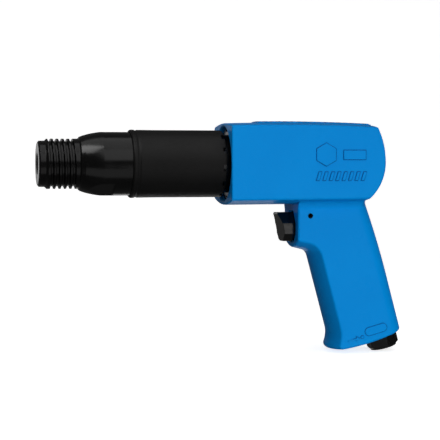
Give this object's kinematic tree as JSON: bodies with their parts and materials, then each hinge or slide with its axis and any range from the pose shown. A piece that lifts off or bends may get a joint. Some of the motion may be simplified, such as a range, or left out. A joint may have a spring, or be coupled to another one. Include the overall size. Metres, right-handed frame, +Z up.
{
  "type": "pneumatic rivet gun",
  "caption": "Pistol-grip pneumatic rivet gun: cast grip housing, long black barrel with a threaded nose, sliding trigger and air inlet under the grip.",
  "frame": {"origin": "centre of the shank bore at the nose face", "axes": "+X back along the barrel, +Z up, the grip hangs towards -Z; Y across the tool"},
  "size_m": [0.2172, 0.049, 0.1381],
  "materials": {
    "blue_paint": "semi-gloss blue paint on cast aluminium",
    "black_steel": "glossy black finish on steel",
    "black_sleeve": "satin black, fine texture",
    "black_rubber": "matt rubber",
    "bright_steel": "ground steel",
    "spring_steel": "drawn spring wire",
    "dark_spring_steel": "blackened spring steel",
    "trigger_plastic": "satin black moulded trigger",
    "inlet_black": "black oxide steel fitting",
    "brass": "turned brass"
  },
  "bodies": {
    "tool": {"housing": "blue_paint", "barrel": "black_steel", "exhaust_sleeve": "black_sleeve", "barrel_lock_ring": "black_steel", "barrel_o_ring": "black_rubber", "valve_front_case": "bright_steel", "valve_rear_case": "bright_steel", "valve_dowel_pin": "bright_steel", "rear_bumper": "black_rubber", "trigger_roll_pin": "dark_spring_steel", "throttle_bushing": "brass", "throttle_bushing_o_ring": "black_rubber", "throttle_spring": "spring_steel", "air_inlet_bushing": "inlet_black", "inlet_o_ring": "black_rubber", "inlet_screen": "brass", "regulator_snap_ring": "dark_spring_steel"},
    "piston": {"piston": "bright_steel"},
    "cycle_valve": {"cycle_valve_disc": "bright_steel"},
    "trigger": {"trigger_button": "trigger_plastic"},
    "throttle_valve": {"throttle_stem": "bright_steel", "throttle_seat_o_ring": "black_rubber"},
    "regulator": {"flow_regulator": "bright_steel", "regulator_o_ring": "black_rubber"}
  },
  "joints": [
    {"name": "piston_slide", "type": "slide", "parent": "tool", "child": "piston", "axis": [-1, 0, 0], "range_m": [0, 0.067]},
    {"name": "cycle_valve_slide", "type": "slide", "parent": "tool", "child": "cycle_valve", "axis": [1, 0, 0], "range_m": [0, 0.001]},
    {"name": "trigger_slide", "type": "slide", "parent": "tool", "child": "trigger", "axis": [1, 0, 0], "range_m": [0, 0.004], "stiffness_N_per_m": 2500, "springref_m": -0.003, "deforming": ["throttle_spring"]},
    {"name": "throttle_valve_slide", "type": "slide", "parent": "tool", "child": "throttle_valve", "axis": [1, 0, 0], "range_m": [0, 0.004]},
    {"name": "regulator_turn", "type": "hinge", "parent": "tool", "child": "regulator", "pos_m": [0.19376, 0, -0.10518], "axis": [0.2588, 0, -0.9659], "range_deg": [0, 90]}
  ],
  "couplings": [
    {"joint": "throttle_valve_slide", "follows": "trigger_slide", "ratio": 1}
  ]
}
